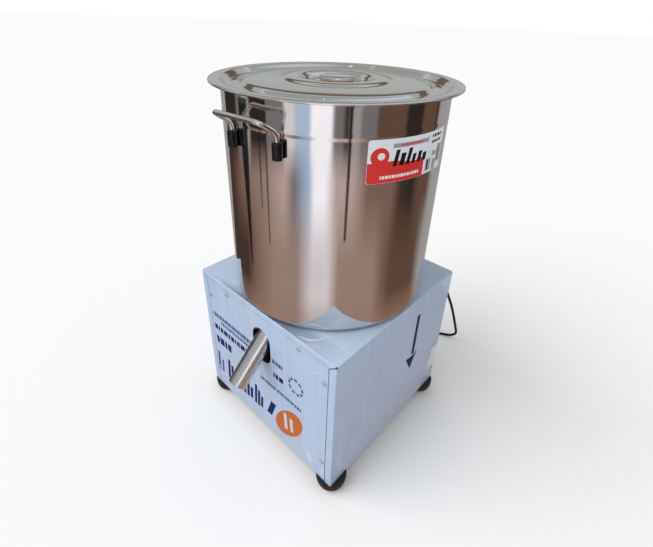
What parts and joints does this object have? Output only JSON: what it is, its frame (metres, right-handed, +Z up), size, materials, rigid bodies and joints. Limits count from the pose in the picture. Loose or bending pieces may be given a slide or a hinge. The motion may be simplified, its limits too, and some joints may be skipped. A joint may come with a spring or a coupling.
{
  "type": "honey extractor",
  "caption": "Steel drum with a lid and side handles on a sheet metal drive cabinet, with a slanted outlet pipe, rubber feet and a basket that spins inside.",
  "frame": {"origin": "on the floor, at the centre of the box around the object without its cord; the drum axis is 15.4 mm behind it", "axes": "+Z up along the drum axis, +Y to the back where the cord leaves, -Y to the front where the outlet pipe is"},
  "size_m": [0.4379, 0.6726, 0.777],
  "materials": {
    "film_steel": "light blue film over sheet steel, satin",
    "plate_steel": "galvanised sheet, satin",
    "screw_steel": "bright zinc plate",
    "drum_steel": "fine vertical grain under a near mirror polish",
    "pipe_steel": "brushed across the tube",
    "lid_steel": "mirror polish with fine turned rings",
    "knob_steel": "polished",
    "handle_steel": "polished bar",
    "foot_rubber": "moulded, matt",
    "gasket_rubber": "flat sheet rubber, matt",
    "sleeve_plastic": "moulded, satin",
    "amber_plastic": "moulded, glossy",
    "basket_steel": "perforated sheet, satin",
    "shaft_steel": "ground",
    "cast_grey": "as cast, turned on its faces",
    "belt_rubber": "fabric faced",
    "motor_paint": "hammered paint",
    "winding_copper": "varnished",
    "black_plastic": "moulded, fine texture",
    "capacitor_white": "smooth",
    "red_lead": "insulation, satin",
    "rocker_red": "moulded, glossy",
    "cord_black": "smooth sheath",
    "pin_brass": "plain"
  },
  "bodies": {
    "frame": {"cabinet_wrapper": "film_steel", "front_panel": "film_steel", "back_panel": "film_steel", "bottom_plate": "plate_steel", "front_panel_screws": "screw_steel", "back_panel_screws": "screw_steel", "foot_front_left": "foot_rubber", "foot_front_right": "foot_rubber", "foot_back_left": "foot_rubber", "foot_back_right": "foot_rubber", "foot_bolts": "screw_steel", "drum_gasket": "gasket_rubber", "drum_floor": "drum_steel", "drum": "drum_steel", "outlet_pipe": "pipe_steel", "handle_front": "handle_steel", "handle_back": "handle_steel", "sleeve_front_left": "sleeve_plastic", "sleeve_front_right": "sleeve_plastic", "sleeve_back_left": "sleeve_plastic", "sleeve_back_right": "sleeve_plastic", "shaft_seal": "gasket_rubber", "bearing_housing": "cast_grey", "bearing_upper": "shaft_steel", "bearing_lower": "shaft_steel", "bearing_circlip": "shaft_steel", "housing_bolts": "screw_steel", "housing_nuts": "screw_steel", "v_belt": "belt_rubber", "motor_case": "motor_paint", "motor_bell": "motor_paint", "motor_stator": "winding_copper", "motor_bracket": "plate_steel", "motor_isolators": "gasket_rubber", "motor_bolts": "screw_steel", "terminal_box": "black_plastic", "capacitor": "capacitor_white", "capacitor_clip": "plate_steel", "red_lead": "red_lead", "switch_body": "black_plastic", "cable_gland": "black_plastic", "power_cord": "cord_black", "cord_coil": "cord_black", "plug_body": "black_plastic", "plug_pins": "pin_brass"},
    "lid": {"lid": "lid_steel", "lid_knob": "knob_steel", "lid_knob_spacer": "amber_plastic", "lid_knob_screw": "screw_steel"},
    "basket_rotor": {"basket": "basket_steel", "basket_hub": "basket_steel", "hub_bolts": "screw_steel", "hub_washer": "screw_steel", "basket_nut": "screw_steel", "spindle": "shaft_steel", "driven_pulley": "cast_grey", "pulley_bolt": "screw_steel"},
    "motor_rotor": {"motor_rotor": "shaft_steel", "motor_pulley": "cast_grey"},
    "switch_rocker": {"switch_rocker": "rocker_red"}
  },
  "joints": [
    {"name": "lid_lift", "type": "slide", "parent": "frame", "child": "lid", "axis": [0, 0, 1], "range_m": [0, 0.26]},
    {"name": "basket_spin", "type": "hinge", "parent": "frame", "child": "basket_rotor", "pos_m": [0, 0.01541, 0.4], "axis": [0, 0, 1], "continuous": true},
    {"name": "motor_spin", "type": "hinge", "parent": "frame", "child": "motor_rotor", "pos_m": [0, 0.1204, 0.23], "axis": [0, 0, 1], "continuous": true},
    {"name": "switch_rock", "type": "hinge", "parent": "frame", "child": "switch_rocker", "pos_m": [0.07, 0.20941, 0.3], "axis": [1, 0, 0], "range_deg": [-8, 8]}
  ],
  "couplings": [
    {"joint": "motor_spin", "follows": "basket_spin", "ratio": 2.0204}
  ]
}
